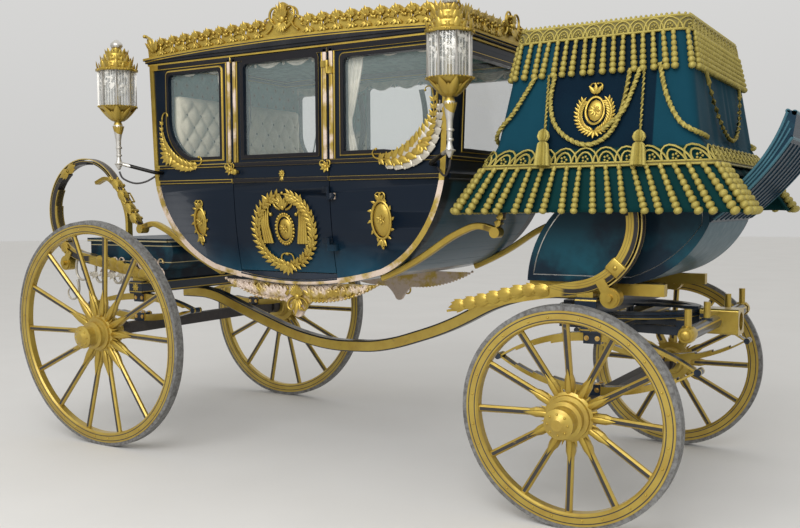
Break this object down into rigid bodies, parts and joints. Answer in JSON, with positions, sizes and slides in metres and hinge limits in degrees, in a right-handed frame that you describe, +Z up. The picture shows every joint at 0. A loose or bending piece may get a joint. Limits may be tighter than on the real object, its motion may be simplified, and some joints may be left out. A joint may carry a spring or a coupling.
{
  "type": "horse drawn carriage",
  "caption": "Closed state carriage hung on C-springs, with glazed doors, a fringed driving seat, lamps, a footmen's stand and a turning forecarriage.",
  "frame": {"origin": "on the ground under the middle of the carriage's length and width", "axes": "+X forwards, +Y to the carriage's left, +Z up"},
  "size_m": [4.6411, 2.108, 2.5399],
  "materials": {
    "body_paint": "gloss varnished paint",
    "gilt": "burnished gilding over carved wood and iron",
    "gear_paint": "dark paint lined with gilt",
    "wheel_paint": "dark paint with gilt faces",
    "tyre": "worn grey",
    "iron": "painted iron",
    "leather": "black harness leather",
    "roof_leather": "varnished leather",
    "lining": "buttoned silk",
    "hammercloth": "fringed wool cloth",
    "lamp_metal": "gilt and silvered metal",
    "glass": "clear plate glass"
  },
  "bodies": {
    "carriage": {"body_floor": "body_paint", "body_glass": "glass", "body_loops": "gilt", "boot_rails": "gilt", "coach_boot": "body_paint", "footboard": "body_paint", "footman_stand": "body_paint", "front_bed": "gear_paint", "front_braces": "leather", "front_c_springs": "gilt", "front_lamps": "lamp_metal", "front_panel": "body_paint", "hammercloth": "hammercloth", "lamp_glasses": "glass", "left_front_quarter": "body_paint", "left_rear_quarter": "body_paint", "perch": "gilt", "rear_axle": "iron", "rear_bed": "gear_paint", "rear_braces": "leather", "rear_c_springs": "gilt", "rear_lamps": "lamp_metal", "rear_panel": "body_paint", "rear_springs": "gear_paint", "right_front_quarter": "body_paint", "right_rear_quarter": "body_paint", "roof": "roof_leather", "roof_gallery": "gilt", "seat_backrests": "lining", "seat_boxes": "lining", "seat_cushions": "lining", "side_aprons": "gilt", "spring_chocks": "gilt", "stand_irons": "gilt", "winding_jacks": "gilt"},
    "right_door_leaf": {"right_door": "body_paint", "right_door_glass": "glass"},
    "left_door_leaf": {"left_door": "body_paint", "left_door_glass": "glass"},
    "forecarriage": {"turning_bed": "gear_paint", "front_axle": "iron", "front_springs": "gear_paint", "splinter_bar": "gilt"},
    "right_front": {"right_front_wheel": "wheel_paint", "right_front_tyre": "tyre"},
    "left_front": {"left_front_wheel": "wheel_paint", "left_front_tyre": "tyre"},
    "right_rear": {"right_rear_wheel": "wheel_paint", "right_rear_tyre": "tyre"},
    "left_rear": {"left_rear_wheel": "wheel_paint", "left_rear_tyre": "tyre"}
  },
  "joints": [
    {"name": "right_door_hinge", "type": "hinge", "parent": "carriage", "child": "right_door_leaf", "pos_m": [0.03708, -0.662, 1.505], "axis": [0, 0, 1], "range_deg": [0, 80]},
    {"name": "left_door_hinge", "type": "hinge", "parent": "carriage", "child": "left_door_leaf", "pos_m": [0.03708, 0.662, 1.505], "axis": [0, 0, -1], "range_deg": [0, 80]},
    {"name": "steering", "type": "hinge", "parent": "carriage", "child": "forecarriage", "pos_m": [1.47458, 0, 0.9], "axis": [0, 0, 1], "range_deg": [-30, 30]},
    {"name": "right_front_spin", "type": "hinge", "parent": "forecarriage", "child": "right_front", "pos_m": [1.47458, -0.89652, 0.50101], "axis": [0, 0.998, 0.0628], "continuous": true},
    {"name": "left_front_spin", "type": "hinge", "parent": "forecarriage", "child": "left_front", "pos_m": [1.47458, 0.89652, 0.50101], "axis": [0, 0.998, -0.0628], "continuous": true},
    {"name": "right_rear_spin", "type": "hinge", "parent": "carriage", "child": "right_rear", "pos_m": [-1.48542, -0.9227, 0.67866], "axis": [0, 0.998, 0.0628], "continuous": true},
    {"name": "left_rear_spin", "type": "hinge", "parent": "carriage", "child": "left_rear", "pos_m": [-1.48542, 0.9227, 0.67866], "axis": [0, 0.998, -0.0628], "continuous": true}
  ]
}
